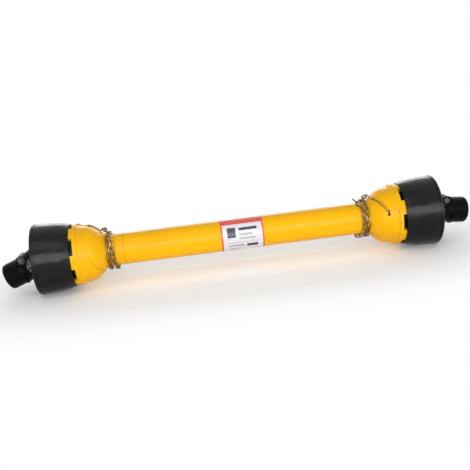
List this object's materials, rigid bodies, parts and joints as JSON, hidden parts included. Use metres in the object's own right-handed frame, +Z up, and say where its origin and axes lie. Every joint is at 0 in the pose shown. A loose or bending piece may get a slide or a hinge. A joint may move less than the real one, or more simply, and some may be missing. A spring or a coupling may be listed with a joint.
{
  "type": "pto drive shaft",
  "caption": "Telescoping power take-off drive shaft with quick-release end yokes, universal joints and a yellow plastic guard with flexible black cones and chains.",
  "frame": {"origin": "bottom centre of the shaft's box, on the floor it lies on", "axes": "+X along the shaft, towards the outer-tube half; +Z up; the label faces -Y"},
  "size_m": [0.9952, 0.147, 0.147],
  "materials": {
    "yellow_plastic": "satin moulded polyethylene",
    "black_rubber": "satin flexible cone",
    "black_paint": "semi-gloss black paint on forged steel",
    "zinc_gold": "yellow-passivated zinc",
    "bright_steel": "bright zinc-plated or ground steel",
    "raw_steel": "drawn steel, oiled",
    "seal_rubber": "matt nitrile",
    "white_nylon": "plain nylon",
    "label_film": "printed film, red band"
  },
  "bodies": {
    "outer_drive": {"outer_drive_tube": "raw_steel", "right_tube_yoke": "black_paint", "right_roll_pin": "raw_steel", "right_inner_cups": "raw_steel", "right_inner_seals": "seal_rubber", "right_inner_snap_rings": "raw_steel"},
    "inner_drive": {"inner_drive_tube": "raw_steel", "left_tube_yoke": "black_paint", "left_roll_pin": "raw_steel", "left_inner_cups": "raw_steel", "left_inner_seals": "seal_rubber", "left_inner_snap_rings": "raw_steel"},
    "right_guard": {"outer_guard_tube": "yellow_plastic", "label": "label_film", "right_guard_bearing": "white_nylon", "right_guard_bell": "yellow_plastic", "right_guard_cone": "black_rubber", "right_chain": "zinc_gold", "right_chain_hook": "zinc_gold", "right_chain_end_hook": "zinc_gold"},
    "left_guard": {"inner_guard_tube": "yellow_plastic", "guard_collar": "yellow_plastic", "left_guard_bearing": "white_nylon", "left_guard_bell": "yellow_plastic", "left_guard_cone": "black_rubber", "left_chain": "zinc_gold", "left_chain_hook": "zinc_gold", "left_chain_end_hook": "zinc_gold"},
    "left_cross": {"left_cross": "raw_steel", "left_grease_nipple": "bright_steel"},
    "left_end_yoke": {"left_end_yoke": "black_paint", "left_outer_cups": "raw_steel", "left_outer_seals": "seal_rubber", "left_outer_snap_rings": "raw_steel", "left_push_pin_spring": "bright_steel"},
    "left_push_pin": {"left_push_pin": "bright_steel", "left_pin_clip": "bright_steel"},
    "right_cross": {"right_cross": "raw_steel", "right_grease_nipple": "bright_steel"},
    "right_end_yoke": {"right_end_yoke": "black_paint", "right_outer_cups": "raw_steel", "right_outer_seals": "seal_rubber", "right_outer_snap_rings": "raw_steel", "right_push_pin_spring": "bright_steel"},
    "right_push_pin": {"right_push_pin": "bright_steel", "right_pin_clip": "bright_steel"}
  },
  "joints": [
    {"name": "telescope", "type": "slide", "parent": "outer_drive", "child": "inner_drive", "axis": [-1, 0, 0], "range_m": [0, 0.3]},
    {"name": "left_yoke_nod", "type": "hinge", "parent": "inner_drive", "child": "left_cross", "pos_m": [-0.40497, 0, 0.0735], "axis": [0, -1, 0], "range_deg": [-53, 13]},
    {"name": "left_yoke_swing", "type": "hinge", "parent": "left_cross", "child": "left_end_yoke", "pos_m": [-0.40497, 0, 0.0735], "axis": [-0.342, 0, 0.9397], "range_deg": [-33, 33]},
    {"name": "left_guard_spin", "type": "hinge", "parent": "inner_drive", "child": "left_guard", "pos_m": [-0.30867, 0, 0.0735], "axis": [1, 0, 0], "continuous": true},
    {"name": "left_pin_push", "type": "slide", "parent": "left_end_yoke", "child": "left_push_pin", "axis": [0, -1, 0], "range_m": [0, 0.0045], "stiffness_N_per_m": 1500, "springref_m": -0.004, "deforming": ["left_push_pin_spring"]},
    {"name": "right_yoke_nod", "type": "hinge", "parent": "outer_drive", "child": "right_cross", "pos_m": [0.40503, 0, 0.0735], "axis": [0, 1, 0], "range_deg": [-39, 27]},
    {"name": "right_yoke_swing", "type": "hinge", "parent": "right_cross", "child": "right_end_yoke", "pos_m": [0.40503, 0, 0.0735], "axis": [0.1045, 0, 0.9945], "range_deg": [-33, 33]},
    {"name": "right_guard_spin", "type": "hinge", "parent": "outer_drive", "child": "right_guard", "pos_m": [0.30873, 0, 0.0735], "axis": [1, 0, 0], "continuous": true},
    {"name": "right_pin_push", "type": "slide", "parent": "right_end_yoke", "child": "right_push_pin", "axis": [0, 1, 0], "range_m": [0, 0.0045], "stiffness_N_per_m": 1500, "springref_m": -0.004, "deforming": ["right_push_pin_spring"]}
  ]
}
